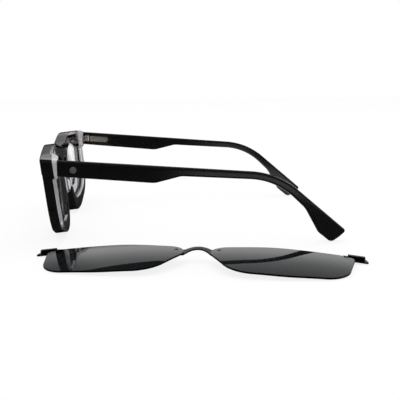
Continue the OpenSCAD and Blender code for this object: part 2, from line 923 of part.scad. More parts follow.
front_dark_layer();
front_clear_layer();
lens(left);  // lens_left
lens(right);  // lens_right
nose_pad(left);  // nose_pad_left
nose_pad(right);  // nose_pad_right
dock_magnet(left);  // dock_magnet_left
dock_magnet(right);  // dock_magnet_right
hinge_leaf(left);  // hinge_leaf_left
hinge_leaf(right);  // hinge_leaf_right
hinge_screw(left);  // hinge_screw_left
hinge_screw(right);  // hinge_screw_right
hinge_slider(left);  // hinge_slider_left
hinge_slider(right);  // hinge_slider_right
slider_nut(left);  // slider_nut_left
slider_nut(right);  // slider_nut_right
flex_spring(left);  // flex_spring_left
flex_spring(right);  // flex_spring_right
spring_housing(left);  // spring_housing_left
spring_housing(right);  // spring_housing_right
temple(left);  // temple_left
temple(right);  // temple_right
temple_core(left);  // temple_core_left
temple_core(right);  // temple_core_right
temple_stud(left);  // temple_stud_left
temple_stud(right);  // temple_stud_right
sun_lens(left);  // sun_lens_left
sun_lens(right);  // sun_lens_right
clip_bridge();
clip_tab(left);  // clip_tab_left
clip_tab(right);  // clip_tab_right
clip_bar(left);  // clip_bar_left
clip_bar(right);  // clip_bar_right
clip_magnet(left);  // clip_magnet_left
clip_magnet(right);  // clip_magnet_right
tab_rivet(left);  // tab_rivet_left
tab_rivet(right);  // tab_rivet_right
bridge_rivet(left);  // bridge_rivet_left
bridge_rivet(right);  // bridge_rivet_right
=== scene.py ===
# %% [markdown]
# # Dressing clip-on eyeglasses
# The imported model gives every piece of the frame and the clip in metres. Here the
# pieces that show get the soft edges and the finishes of the real ones.
# First the model is loaded. The dressed model must stay inside it.

# %% Load the frame
import json
import bmesh
import bpy
import numpy as np
from mathutils import Matrix

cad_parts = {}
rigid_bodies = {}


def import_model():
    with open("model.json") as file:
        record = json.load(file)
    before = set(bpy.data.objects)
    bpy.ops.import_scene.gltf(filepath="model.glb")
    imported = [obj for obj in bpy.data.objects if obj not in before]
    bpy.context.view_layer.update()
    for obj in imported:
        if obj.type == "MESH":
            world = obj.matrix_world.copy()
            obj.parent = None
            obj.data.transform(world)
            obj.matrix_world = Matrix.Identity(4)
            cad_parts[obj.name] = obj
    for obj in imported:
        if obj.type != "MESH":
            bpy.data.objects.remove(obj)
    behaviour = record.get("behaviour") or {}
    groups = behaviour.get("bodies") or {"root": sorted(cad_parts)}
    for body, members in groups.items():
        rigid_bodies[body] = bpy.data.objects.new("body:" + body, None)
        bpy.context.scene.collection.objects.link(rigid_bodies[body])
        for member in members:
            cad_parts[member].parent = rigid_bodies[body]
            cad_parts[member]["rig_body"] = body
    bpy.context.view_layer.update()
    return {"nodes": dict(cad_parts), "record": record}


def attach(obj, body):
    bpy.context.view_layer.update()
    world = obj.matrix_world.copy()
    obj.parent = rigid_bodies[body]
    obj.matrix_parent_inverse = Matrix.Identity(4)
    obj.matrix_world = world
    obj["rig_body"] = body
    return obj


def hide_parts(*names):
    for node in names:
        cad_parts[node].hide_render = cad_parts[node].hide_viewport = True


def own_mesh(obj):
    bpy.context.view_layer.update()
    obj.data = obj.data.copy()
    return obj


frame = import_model()
print("CAD nodes:", len(frame["nodes"]))

# %% [markdown]
# ## The camera
# The photograph was taken from the wearer's left, a little above the temples. The
# place and angle were fitted to both temples at once, with the frame taken as
# symmetrical. The view direction comes from a yaw and a pitch, and the picture is
# rolled by under half a degree.

# %% Camera
EYE_AT = np.array([0.425187, 0.04443, 0.085989])
YAW, PITCH, ROLL = np.radians([3.099, 10.24, -0.415])
FOCAL_PIXELS, PICTURE_PIXELS, SENSOR_MM = 802.32, 400, 36


def camera_axes(yaw, pitch, roll):
    """Right, up and back vectors: forward is (-cos p cos y, cos p sin y, -sin p), right is
    forward crossed with the vertical, and both right and up are turned by the roll."""
    forward = np.array([-np.cos(pitch) * np.cos(yaw), np.cos(pitch) * np.sin(yaw), -np.sin(pitch)])
    right = np.cross(forward, [0, 0, 1])
    right /= np.linalg.norm(right)
    up = np.cross(right, forward)
    c, s = np.cos(roll), np.sin(roll)
    return c * right + s * up, c * up - s * right, -forward


camera_data = bpy.data.cameras.new("photo_camera")
camera = bpy.data.objects.new("photo_camera", camera_data)
bpy.context.scene.collection.objects.link(camera)
turn = np.eye(4)
turn[:3, :3] = np.column_stack(camera_axes(YAW, PITCH, ROLL))
turn[:3, 3] = EYE_AT
camera.matrix_world = Matrix(turn.tolist())
camera_data.sensor_width = SENSOR_MM
camera_data.lens = FOCAL_PIXELS / PICTURE_PIXELS * SENSOR_MM
camera_data.clip_start = 0.01
bpy.context.scene.camera = camera
print("lens, mm:", round(camera_data.lens, 2))

# %% [markdown]
# ## Nodes and colours
# Every finish is built from shader nodes. One helper adds a node with its settings
# and its links, and one turns the hex colours that a person reads off a sample
# into the linear values that the renderer works in.

# %% Node and colour helpers
def linear(hex_colour):
    """sRGB hex to linear: v / 12.92 below 0.04045, else ((v + 0.055) / 1.055) to the power 2.4."""
    v = np.array([int(hex_colour[i:i + 2], 16) for i in (1, 3, 5)]) / 255
    v = np.where(v <= 0.04045, v / 12.92, ((v + 0.055) / 1.055) ** 2.4)
    return (*v.tolist(), 1.0)


def add(tree, kind, settings=(), **inputs):
    """Adds a node, sets its properties, and fills each input with a value or links it."""
    node = tree.nodes.new("ShaderNode" + kind)
    for name, value in dict(settings).items():
        setattr(node, name, value)
    for name, value in inputs.items():
        socket = node.inputs[int(name[1:])] if name[0] == "i" and name[1:].isdigit() \
            else node.inputs[name.replace("_", " ")]
        if isinstance(value, bpy.types.NodeSocket):
            tree.links.new(value, socket)
        else:
            socket.default_value = value
    return node


def finish_of(name):
    """A new material with an empty node tree and its output node."""
    material = bpy.data.materials.new(name)
    material.use_nodes = True
    material.node_tree.nodes.clear()
    return material, material.node_tree, add(material.node_tree, "OutputMaterial")


def wear(tree, size_mm, detail=3.0):
    """Noise whose features are about size_mm across, read from object coordinates in metres."""
    place = add(tree, "TexCoord")
    return add(tree, "TexNoise", Vector=place.outputs["Object"], Scale=1000 / size_mm, Detail=detail)


def uneven(tree, noise, low, high):
    """Roughness that runs evenly from low to high where the noise runs from 0.3 to 0.7."""
    return add(tree, "MapRange", i0=noise.outputs["Fac"], i1=0.3, i2=0.7, i3=low, i4=high).outputs[0]


print("black as linear:", [round(c, 4) for c in linear("#111111")])

# %% [markdown]
# ## Acetate
# The frame is cellulose acetate: black sheet with a clear sheet laminated behind
# it, cut out, tumbled in wooden chips for days and buffed. Tumbling leaves a gloss
# that is a little uneven on a scale of some millimetres, and hairline rub marks.
# So the roughness varies slowly and a very low bump bends the reflections.

# %% Black and clear acetate
ACETATE_IOR, MILKY_CLEARNESS = 1.48, 0.15


def black_acetate():
    """Near-black plastic: slow noise tints it, and fine noise sets its gloss and its rub marks."""
    material, tree, out = finish_of("black_acetate")
    tumble = wear(tree, 9, 2.0)
    rub = wear(tree, 0.9, 6.0)
    tint = add(tree, "ValToRGB", Fac=tumble.outputs["Fac"])
    tint.color_ramp.elements[0].color = linear("#0e0e0d")
    tint.color_ramp.elements[1].color = linear("#161615")
    height = add(tree, "Math", {"operation": "MULTIPLY_ADD"}, i0=rub.outputs["Fac"], i1=0.02,
                 i2=tumble.outputs["Fac"])
    bump = add(tree, "Bump", Strength=0.05, Distance=0.00012, Height=height.outputs[0])
    shader = add(tree, "BsdfPrincipled", Base_Color=tint.outputs["Color"], IOR=ACETATE_IOR,
                 Roughness=uneven(tree, rub, 0.10, 0.17), Normal=bump.outputs["Normal"])
    tree.links.new(shader.outputs["BSDF"], out.inputs["Surface"])
    return material


def clear_acetate():
    """Clear at its walls, milky where the point attribute "thick" is 1, and black where "backed" is 1.
    Both count only where the light comes from outside, so that a ray leaves as it came in."""
    material, tree, out = finish_of("clear_acetate")
    tumble = wear(tree, 7, 2.0)
    cloud = add(tree, "ValToRGB", Fac=tumble.outputs["Fac"])
    cloud.color_ramp.elements[0].color = linear("#d3ced4")
    cloud.color_ramp.elements[1].color = linear("#dedae0")
    bump = add(tree, "Bump", Strength=0.06, Distance=0.00010, Height=tumble.outputs["Fac"])
    thick = add(tree, "Attribute", {"attribute_name": "thick"})
    backed = add(tree, "Attribute", {"attribute_name": "backed"})
    inside = add(tree, "NewGeometry").outputs["Backfacing"]
    less = {"operation": "SUBTRACT", "use_clamp": True}
    milk = add(tree, "Math", less, i0=thick.outputs["Fac"], i1=inside)
    dark = add(tree, "Math", less, i0=backed.outputs["Fac"], i1=inside)
    clear = add(tree, "MapRange", i0=milk.outputs[0], i3=1.0, i4=MILKY_CLEARNESS)
    through = add(tree, "Math", less, i0=clear.outputs[0], i1=dark.outputs[0])
    colour = add(tree, "Mix", {"data_type": "RGBA"}, Factor=dark.outputs[0], i6=cloud.outputs["Color"],
                 i7=linear("#121212"))
    shader = add(tree, "BsdfPrincipled", Base_Color=colour.outputs[2], IOR=ACETATE_IOR,
                 Roughness=uneven(tree, tumble, 0.03, 0.08), Normal=bump.outputs["Normal"],
                 Transmission_Weight=through.outputs[0])
    tree.links.new(shader.outputs["BSDF"], out.inputs["Surface"])
    return material


BLACK_ACETATE, CLEAR_ACETATE = black_acetate(), clear_acetate()
print("acetates:", BLACK_ACETATE.name, CLEAR_ACETATE.name)

# %% [markdown]
# ## Lenses
# The spectacle lenses are plain clear resin with a hard coat. The sun lenses are
# grey polarising film between two clear sheets. Lying on a white surface they look
# almost black, because light passes them twice, and what shows is the reflection
# on their polished faces, which grows towards grazing angles. Their glass has a dark
# tint at both faces. Part of it is the film's grey, and part is painted shadow: the
# shade under the lens, which the floor doesn't show through glass.

# %% Clear and sun lenses
RESIN_IOR = 1.50


def lens_resin(name, hex_colour, low, high, smear_mm):
    """Glass whose roughness runs from low to high, as wiping cloths leave it."""
    material, tree, out = finish_of(name)
    smear = wear(tree, smear_mm, 4.0)
    bump = add(tree, "Bump", Strength=0.05, Distance=0.00003, Height=smear.outputs["Fac"])
    shader = add(tree, "BsdfPrincipled", Base_Color=linear(hex_colour), IOR=RESIN_IOR,
                 Roughness=uneven(tree, smear, low, high), Normal=bump.outputs["Normal"],
                 Transmission_Weight=1.0)
    tree.links.new(shader.outputs["BSDF"], out.inputs["Surface"])
    return material


CLEAR_RESIN = lens_resin("hard_coated_resin", "#fbfdfd", 0.0, 0.02, 14)
# The sun tint is the film's grey plus painted shadow, dark enough to stand for the shade under the lens.
SUN_TINT_AND_PAINTED_SHADOW = lens_resin("polarising_tint_and_painted_shadow", "#1c1f21", 0.01, 0.04, 18)
print("lenses:", CLEAR_RESIN.name, SUN_TINT_AND_PAINTED_SHADOW.name)

# %% [markdown]
# ## Metals
# The hinges are nickel silver with a champagne plating, polished on a wheel, so
# fine marks run along them. The clip is stainless steel with a dark gun-metal
# plating that is rubbed brighter in patches. The studs are satin, and screws, springs
# and magnets are bare or nickelled. Metals keep the default IOR.

# %% Metals
def metal(name, dark_hex, light_hex, low, high, grain_mm, stretch=(1, 1, 1)):
    """Metallic shader: the colour varies in patches, and fine noise stretched one way is the grain."""
    material, tree, out = finish_of(name)
    place = add(tree, "TexCoord")
    along = add(tree, "Mapping", Vector=place.outputs["Object"], Scale=stretch)
    grain = add(tree, "TexNoise", Vector=along.outputs["Vector"], Scale=1000 / grain_mm, Detail=5.0)
    patches = wear(tree, 2.5, 2.0)
    tint = add(tree, "ValToRGB", Fac=patches.outputs["Fac"])
    tint.color_ramp.elements[0].color = linear(dark_hex)
    tint.color_ramp.elements[1].color = linear(light_hex)
    bump = add(tree, "Bump", Strength=0.1, Distance=0.00001, Height=grain.outputs["Fac"])
    shader = add(tree, "BsdfPrincipled", Base_Color=tint.outputs["Color"], Metallic=1.0,
                 Roughness=uneven(tree, grain, low, high), Normal=bump.outputs["Normal"])
    tree.links.new(shader.outputs["BSDF"], out.inputs["Surface"])
    return material


CHAMPAGNE = metal("champagne_plated_nickel_silver", "#e2d9c8", "#ece5d8", 0.34, 0.46, 0.35, (1, 0.15, 1))
GUNMETAL = metal("gun_metal_plated_steel", "#2b2925", "#3f3d38", 0.22, 0.38, 0.4)
STEEL = metal("polished_steel", "#b9b7b1", "#d8d6d0", 0.14, 0.24, 0.3)
SPRING_WIRE = metal("spring_steel", "#8f8e8a", "#b2b0ab", 0.22, 0.35, 0.3, (1, 1, 0.3))
SATIN = metal("satin_steel", "#dddbd6", "#eeece8", 0.5, 0.6, 0.3)
MAGNET = metal("nickel_plated_magnet", "#a9a9a6", "#cdccc7", 0.12, 0.25, 0.6)
print("metals:", [m.name for m in (CHAMPAGNE, GUNMETAL, STEEL, SPRING_WIRE, SATIN, MAGNET)])

# %% [markdown]
# ## Outlines
# Acetate parts are sawn and milled from flat sheet, so each is an outline with a
# front and a back. An outline is a list of corners, each with its own radius. Its
# points are spread evenly, so that the faces built on it are even too.

# %% Rounded outlines
MM = 0.001


def smooth(x, low, high):
    """0 below low, 1 above high, and 3t^2 - 2t^3 between, t the share of the way."""
    t = np.clip((x - low) / (high - low), 0, 1)
    return t * t * (3 - 2 * t)


def arc(before, corner, after, radius, n=24):
    """Points of the circle that touches both sides of a corner: centre on the bisector."""
    p, q = before - corner, after - corner
    p, q = p / np.linalg.norm(p), q / np.linalg.norm(q)
    half = np.arccos(np.clip(p @ q, -1, 1)) / 2
    mid = corner + (p + q) / np.linalg.norm(p + q) * radius / np.sin(half)
    s, e = corner + p * radius / np.tan(half) - mid, corner + q * radius / np.tan(half) - mid
    start = np.arctan2(s[1], s[0])
    sweep = np.arctan2(s[0] * e[1] - s[1] * e[0], s @ e)
    angle = start + sweep * np.linspace(0, 1, n)
    return mid + radius * np.column_stack([np.cos(angle), np.sin(angle)])


def outline(corners, closed=True):
    """The corners [x, y, radius] as one dense line, with an arc at each rounded corner."""
    xy = np.array(corners, float)[:, :2]
    n, parts = len(xy), []
    for i, (x, y, radius) in enumerate(corners):
        end = not closed and i in (0, n - 1)
        parts.append(xy[i:i + 1] if radius == 0 or end
                     else arc(xy[i - 1], xy[i], xy[(i + 1) % n], radius))
    return np.vstack(parts)


def spread(line, count, closed=False):
    """count points at even distances along a line."""
    if closed:
        line = np.vstack([line, line[:1]])
    step = np.r_[0, np.cumsum(np.linalg.norm(np.diff(line, axis=0), axis=1))]
    at = np.linspace(0, step[-1], count + 1)[:-1] if closed else np.linspace(0, step[-1], count)
    return np.column_stack([np.interp(at, step, line[:, k]) for k in (0, 1)])


def inward(line, closed=False):
    """Unit normals to the left of an anticlockwise line: the tangent (dx, dy) gives (-dy, dx)."""
    if closed:
        t = np.roll(line, -1, 0) - np.roll(line, 1, 0)
    else:
        t = np.gradient(line, axis=0)
    t = t / np.linalg.norm(t, axis=1)[:, None]
    return np.column_stack([-t[:, 1], t[:, 0]])


print("points of a corner:", len(outline([[5, 0, 0], [0, 0, 2], [0, 5, 0]], closed=False)) - 2)

# %% [markdown]
# ## A plate with tumbled edges
# One function makes every acetate piece and lens. Its grid has columns round the
# outline and rows across the plate: over the front, round the edge, and over the
# back. The edge is a quarter circle: at angle t it is set in by r (1 - cos t) and
# lowered by r (1 - sin t). A hole adds its own wall. Where a piece is half of a
# mirrored one, its outline is open and a straight part without an edge closes it.
# Where it ends in a flat butt, one face closes it.

# %% The plate surface
QUARTER = np.radians([0, 18, 36, 54, 72, 90])
STEPS_PER_MM = 1e4


def grid_faces(rows, cols, skip, wrap_rows, wrap_cols):
    """Quads of a grid of rows and columns; skip is true at the cells that are left out."""
    r = np.arange(rows if wrap_rows else rows - 1)
    c = np.arange(cols if wrap_cols else cols - 1)
    r, c = np.meshgrid(r, c, indexing="ij")
    keep = ~skip[r, c] if skip is not None else np.ones(r.shape, bool)
    r, c = r[keep], c[keep]
    r1, c1 = (r + 1) % rows, (c + 1) % cols
    return np.column_stack([r * cols + c, r1 * cols + c, r1 * cols + c1, r * cols + c1])


def to_grid(points):
    """Places in whole steps of 0.1 micrometre, so that points which meet can be found."""
    return np.round(points * STEPS_PER_MM).astype(np.int64)


def weld(points, faces):
    """Points closer than 0.1 micrometre become one, and faces lose repeated corners."""
    _, first, back = np.unique(to_grid(points), axis=0, return_index=True, return_inverse=True)
    faces = back.reshape(-1)[faces]
    same = faces == np.roll(faces, -1, axis=1)
    full = faces[~same.any(1)].tolist()
    thin = [f[~s].tolist() for f, s in zip(faces[same.any(1)], same[same.any(1)])]
    return points[first], full + [f for f in thin if len(f) > 2]


def plate(edge, normals, straight, inner, front, back, r_front, r_back, steps,
          hole=None, cap=False):
    """Points and faces of a plate. edge runs anticlockwise; straight closes it, or is None where
    edge is closed in itself or, with cap, where one flat face joins its two ends.
    inner has one point per column. front and back give depths.
    hole is (wall normals, radius, groove function). Rows run from the inner line outwards over the
    front, round the edge and back over the back."""
    n_edge = len(edge)
    extra = 0 if straight is None else len(straight)
    n = n_edge + extra
    rf, rb = np.broadcast_to(r_front, n_edge)[:, None], np.broadcast_to(r_back, n_edge)[:, None]
    rim = np.vstack([edge, straight]) if extra else edge

    def edge_row(radius, angle, surface, sign):
        flat = rim.copy()
        flat[:n_edge] = edge + normals * radius * (1 - np.cos(angle))
        depth = surface(flat[:, 0], flat[:, 1])
        depth[:n_edge] -= sign * (radius * (1 - np.sin(angle)))[:, 0]
        return np.column_stack([flat, depth])

    front_edge = [edge_row(rf, a, front, 1) for a in QUARTER[::-1]]
    back_edge = [edge_row(rb, a, back, -1) for a in QUARTER]
    if hole is None:
        inner_front = inner_back = inner
        wall = []
    else:
        wall_normals, radius, groove = hole
        inner_front = inner_back = inner - wall_normals * radius
        wall = [np.column_stack([p := inner - wall_normals * radius * (1 - np.cos(a)),
                                 back(p[:, 0], p[:, 1]) + radius * (1 - np.sin(a))])
                for a in QUARTER[::-1]]
        wall += groove(inner, wall_normals)
        wall += [np.column_stack([p := inner - wall_normals * radius * (1 - np.cos(a)),
                                  front(p[:, 0], p[:, 1]) - radius * (1 - np.sin(a))])
                 for a in QUARTER]
    t = np.linspace(0, 1, steps + 1)[:, None, None]
    over = (1 - t) * inner_front + t * front_edge[0][:, :2]
    under = (1 - t) * back_edge[-1][:, :2] + t * inner_back
    rows = [np.column_stack([o, front(o[:, 0], o[:, 1])]) for o in over[:-1]]
    first = len(rows)
    rows += front_edge + back_edge
    last = len(rows) - 1
    rows += [np.column_stack([u, back(u[:, 0], u[:, 1])]) for u in under[1:]]
    rows += wall[1:-1]
    rows = np.array(rows)
    skip = np.zeros((len(rows), n), bool)
    if extra:
        skip[first:last, n_edge - 1:] = True
    faces = grid_faces(len(rows), n, skip, hole is not None, not cap)
    points = rows.reshape(-1, 3)
    points_out, faces_out = weld(points, faces)
    if cap:
        ids = np.arange(len(points)).reshape(len(rows), n)
        ring = np.r_[ids[:, -1], ids[::-1, 0]]
        place = {tuple(k): i for i, k in enumerate(to_grid(points_out))}
        loop = [place[tuple(k)] for k in to_grid(points[ring])]
        faces_out.append([v for i, v in enumerate(loop) if v != loop[i - 1]])
    return points_out, faces_out


print("rows of an edge:", len(QUARTER))

# %% [markdown]
# ## From points to pieces
# A mesh takes its points and faces as whole lists. It could get its smoothness from a
# modifier, but normals that are weighed by area keep the flat walls flat. The
# mirrored piece has x turned round and each face listed backwards, so that its faces
# still look outwards.

# %% Mesh helpers
SHARP = np.radians(38)


def true_normals(mesh):
    """Shading normals at each point are the sum of its faces' normals times their areas, so that
    flat walls stay flat beside round edges. Points on sharp edges keep their own."""
    area, normal = np.empty(len(mesh.polygons)), np.empty(len(mesh.polygons) * 3)
    corners, at = np.empty(len(mesh.polygons), int), np.empty(len(mesh.loops), int)
    ends, sharp = np.empty(len(mesh.edges) * 2, int), np.empty(len(mesh.edges), bool)
    mesh.polygons.foreach_get("area", area)
    mesh.polygons.foreach_get("normal", normal)
    mesh.polygons.foreach_get("loop_total", corners)
    mesh.loops.foreach_get("vertex_index", at)
    mesh.edges.foreach_get("vertices", ends)
    mesh.edges.foreach_get("use_edge_sharp", sharp)
    total = np.zeros((len(mesh.vertices), 3))
    np.add.at(total, at, np.repeat(normal.reshape(-1, 3) * area[:, None], corners, axis=0))
    total /= np.maximum(np.linalg.norm(total, axis=1), 1e-20)[:, None]
    total[ends.reshape(-1, 2)[sharp].reshape(-1)] = 0
    mesh.normals_split_custom_set_from_vertices(total.tolist())


def piece(name, points, faces, body, material, stands_for, to_be_cut=False):
    """A mesh object from points in millimetres, smooth where faces meet below SHARP degrees. One
    that is still to be cut gets its shading normals after the cuts."""
    mesh = bpy.data.meshes.new(name)
    mesh.from_pydata(np.asarray(points * MM).tolist(), [], faces)
    mesh.validate()
    made = bpy.data.objects.new(name, mesh)
    bpy.context.scene.collection.objects.link(made)
    mesh.materials.append(material)
    mesh.shade_smooth()
    mesh.set_sharp_from_angle(angle=SHARP)
    if not to_be_cut:
        true_normals(mesh)
    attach(made, body)
    if stands_for:
        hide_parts(*stands_for)
    print(name, len(mesh.vertices), "points, mm", points.min(0).round(2), points.max(0).round(2))
    return made


def mirrored(points, faces):
    """The other side's piece: x times -1, and each face listed backwards."""
    return points * [-1, 1, 1], [f[::-1] for f in faces]


def both_sides(points, faces):
    """The left piece as it is, and the right one mirrored, each with its side's name."""
    return [("left", points, faces), ("right", *mirrored(points, faces))]


def joined(points, faces):
    """A half and its mirror image as one mesh, welded along the middle plane."""
    p2, f2 = mirrored(points, faces)
    both = np.vstack([points, p2])
    _, first, back = np.unique(to_grid(both), axis=0, return_index=True, return_inverse=True)
    back = back.reshape(-1)
    shifted = [[v + len(points) for v in f] for f in f2]
    return both[first], [back[f].tolist() for f in faces + shifted]


print("helpers ready")

# %% [markdown]
# ## The front
# The front is one outline with two openings, bent to a large bow, leaning forward.
# It is worked out for the wearer's left half in the plane of the front: x across,
# v up the plane, w forward. The dark layer is thicker at the endpieces, and the
# clear layer reaches back there to meet the temples, so depths depend on the place.

# %% Front sizes
EYE_X, EYE_V, HALF_W, HALF_H = 35.0, 22.2, 26.5, 16.3
END_X, RIM_X, BOW_R, TILT, FOOT_AHEAD = 69.0, 65.8, 700.0, np.radians(6.5), 6.3
TOP_V, UNDER_V, BRIDGE_V, BROW_V = 40.7, 33.4, 33.2, 43.2
DARK_T, DARK_END_T, ALL_T = 4.4, 5.4, 6.0
LENS_R, LENS_T, LENS_AHEAD, GROOVE_D, PLAY = 260.0, 1.9, 1.3, 0.7, 0.02
BLOCK_X, BLOCK_SLANT, BLOCK_SLANT_Y, NOSE_GAP, NOSE_FLARE = 61.6, 4.1, 2.6, 5.6, 8.2
FRONT_EDGE, BACK_EDGE, JOINT_EDGE, GLUED_EDGE, EYE_EDGE, GLUE_OVERLAP = 0.6, 0.5, 0.08, 0.04, 0.3, 0.05
EYE_SHAPE = [[-0.626, -0.945, 0.51], [0.109, -1.006, 2.264], [0.917, -0.7485, 0.472],
             [1.03, 0.6258, 0.189], [-0.121, 1.089, 2.04], [-0.996, 0.632, 0.189]]
EYE = [[EYE_X + HALF_W * a, EYE_V + HALF_H * b, HALF_W * c] for a, b, c in EYE_SHAPE]
FRONT = [[0, BRIDGE_V, 0], [NOSE_GAP, BRIDGE_V, 4.2], [NOSE_GAP + NOSE_FLARE, 0.8, 14.84],
         [EYE_X + 1, -0.58, 50.35], [RIM_X - 1.8, 8.2, 19], [RIM_X, UNDER_V, 0.5], [END_X, UNDER_V, 0.7],
         [END_X, TOP_V, 1.6], [EYE_X - 6, BROW_V + 0.6, 50], [8, BRIDGE_V + 6.6, 14],
         [0, BRIDGE_V + 6.6, 0]]
TEMPLE_SLOPE = np.tan(np.radians(4.37))
END_SHEAR, SHEAR_FROM = 0.192, 3.4


def bow(x):
    """Depth of the bowed face behind the plane: R minus the root of R squared less x squared."""
    return BOW_R - np.sqrt(BOW_R ** 2 - x ** 2)


def at_end(x, v):
    """1 on an endpiece, which starts 57.5 mm out and 32 mm up, and 0 on the rims."""
    return smooth(x, 56.6, 58.4) * smooth(v, 31.4, 32.4)


def dark_back(x, v):
    """The black sheet's back: its thickness behind the bowed face, and thicker at the endpieces."""
    return -bow(x) - DARK_T - (DARK_END_T - DARK_T) * at_end(x, v)


def clear_back(x, v):
    """The sheet's back, or the endpiece block's: flat at the joint plane, slanting in from BLOCK_X."""
    block_y = -BLOCK_SLANT_Y * np.clip((BLOCK_X - x) / BLOCK_SLANT, 0, 1)
    block = (block_y + FOOT_AHEAD + v * np.sin(TILT)) / np.cos(TILT)
    sheet = bow(x) + ALL_T
    return -np.where(at_end(x, v) > 0, sheet + np.maximum(block - sheet, 0) * at_end(x, v), sheet)


def lens_face(x, v, radius):
    """Depth of a ball face of that radius over one eye."""
    wrap = np.arcsin(EYE_X / BOW_R)
    cx = EYE_X - LENS_R * np.sin(wrap)
    cz = -EYE_X ** 2 / BOW_R / 2 - DARK_T / 2 + LENS_AHEAD - LENS_R * np.cos(wrap)
    return cz + np.sqrt(radius ** 2 - (x - cx) ** 2 - (v - EYE_V) ** 2)


def to_front(points):
    """From the leaning plane to the room: x stays, and v and w turn by the tilt. The endpieces
    are first sheared upwards by END_SHEAR times their depth, to run on with the temples."""
    x, v, w = points.T
    far = np.abs(x)
    end = np.maximum(smooth(far, 56, 66) * smooth(v, 36.5, 39.5),
                     smooth(far, 63.4, 65.8) * smooth(v, 28, 32))
    v = v + END_SHEAR * (w + SHEAR_FROM) * end
    s, c = np.sin(TILT), np.cos(TILT)
    return np.column_stack([x, -s * v - c * w - FOOT_AHEAD, c * v - s * w])


print("front from", -END_X, "to", END_X, "mm")

# %% [markdown]
# Each point of the outline needs a partner on the opening. Partners share an angle
# about the middle of the eye, and a moving average over nine points evens the angles,
# so that no face between them is twisted.

# %% Columns round the front
N_EDGE, N_STRAIGHT = 300, 14
edge = spread(outline(FRONT, closed=False), N_EDGE)
edge_in = inward(edge)
edge_in[0], edge_in[-1] = (0, 1), (0, -1)


def rim_line(radius):
    """The straight part down the middle, from the top of the bridge to its underside."""
    v = np.linspace(edge[-1, 1] - radius, edge[0, 1] + radius, N_STRAIGHT + 2)[1:-1]
    return np.column_stack([np.zeros_like(v), v])


def around(points):
    """Angle of points round the opening's middle, in a space where the opening is about round."""
    return np.unwrap(np.arctan2((points[:, 1] - EYE_V) / HALF_H, (points[:, 0] - EYE_X) / HALF_W))


eye_line = spread(outline(EYE), 720, closed=True)
eye_angle = around(eye_line)
eye_in = inward(eye_line, closed=True)
rim = np.vstack([edge, rim_line(FRONT_EDGE)])
angle = np.maximum.accumulate(around(rim))
angle = angle[0] + (angle - angle[0]) * 2 * np.pi / (angle[-1] - angle[0] + 0.02)
window = np.ones(9) / 9
looped = np.concatenate([angle[-4:] - 2 * np.pi, angle, angle[:4] + 2 * np.pi])
angle = np.convolve(looped, window, "valid")


def on_eye(values):
    """Values round the opening, read at the columns' angles."""
    base = eye_angle[0]
    order = np.r_[eye_angle, eye_angle[0] + 2 * np.pi]
    where = base + (angle - base) % (2 * np.pi)
    return np.column_stack([np.interp(where, order, np.r_[values[:, k], values[0, k]]) for k in (0, 1)])


eye_points, eye_normals = on_eye(eye_line), on_eye(eye_in)
eye_normals /= np.linalg.norm(eye_normals, axis=1)[:, None]
print("columns round the front:", len(rim))

# %% [markdown]
# The dark layer has the groove that holds the lens, milled 0.7 mm into the rim, and
# the pockets of the docking magnets. Its back is flat and sharp, because the clear
# sheet is glued on there. A glued joint has no air in it, so black shows through the
# clear sheet. The clear piece therefore starts 0.05 mm inside the black one: with
# air between them, light would be thrown back at the joint.

# %% The two layers
def lens_groove(points, normals):
    """Rows down the opening's wall, from the back to the front: in, up and out of the groove."""
    out = points - normals * (GROOVE_D + PLAY)
    low, high = LENS_R - LENS_T - PLAY, LENS_R + PLAY
    rows = [(points, low), (out, low), (out, high), (points, high)]
    return [np.column_stack([p, lens_face(p[:, 0], p[:, 1], radius)]) for p, radius in rows]


def no_groove(points, normals):
    """The clear sheet's wall is plain."""
    return []


dark = plate(edge, edge_in, rim_line(FRONT_EDGE), eye_points, lambda x, v: -bow(x), dark_back,
             FRONT_EDGE, GLUED_EDGE, 12, hole=(eye_normals, EYE_EDGE, lens_groove))
near_joint = smooth(edge[:, 0], 57, 61) * smooth(edge[:, 1], 30, 32)
clear = plate(edge, edge_in, rim_line(BACK_EDGE), eye_points,
              lambda x, v: dark_back(x, v) + GLUE_OVERLAP, clear_back,
              JOINT_EDGE, BACK_EDGE - (BACK_EDGE - JOINT_EDGE) * near_joint, 12,
              hole=(eye_normals, EYE_EDGE, no_groove))
front_layers = []
for name, half, material, slot in [("front_black_acetate", dark, BLACK_ACETATE, "black_acetate"),
                                   ("front_clear_acetate", clear, CLEAR_ACETATE, "crystal_acetate")]:
    points, faces = joined(*half)
    node = "front_dark_layer" if "black" in name else "front_clear_layer"
    front_layers.append(piece(name, to_front(points), faces, "front", material, [node],
                              to_be_cut=True))

# %% [markdown]
# Pockets are cut with a plain boolean: a drill for the magnet and a slot cutter for
# the hinge leaf, as on the real front. The cutters are removed again.

# %% Cut pockets
def cut(target, points, faces):
    """Takes a convex cutter away from a piece."""
    mesh = bpy.data.meshes.new("cutter")
    mesh.from_pydata(np.asarray(points * MM).tolist(), [], faces)
    cutter = bpy.data.objects.new("cutter", mesh)
    bpy.context.scene.collection.objects.link(cutter)
    modifier = target.modifiers.new("pocket", "BOOLEAN")
    modifier.object, modifier.solver = cutter, "EXACT"
    bpy.context.view_layer.update()
    done = bpy.data.meshes.new_from_object(target.evaluated_get(bpy.context.evaluated_depsgraph_get()))
    target.modifiers.clear()
    target.data = done
    bpy.data.objects.remove(cutter)


def drum(centre, axis, radius, low, high, n=48):
    """A closed cylinder: n points on each rim, radius times (cos, sin) in the plane across the axis."""
    axis = np.array(axis, float) / np.linalg.norm(axis)
    u = np.cross(axis, [1, 0, 0.1])
    u /= np.linalg.norm(u)
    w = np.cross(axis, u)
    a = np.linspace(0, 2 * np.pi, n, endpoint=False)[:, None]
    ring = radius * (np.cos(a) * u + np.sin(a) * w)
    points = np.vstack([centre + ring + axis * low, centre + ring + axis * high])
    sides = [[i, (i + 1) % n, n + (i + 1) % n, n + i] for i in range(n)]
    return points, sides + [list(range(n))[::-1], list(range(n, 2 * n))]


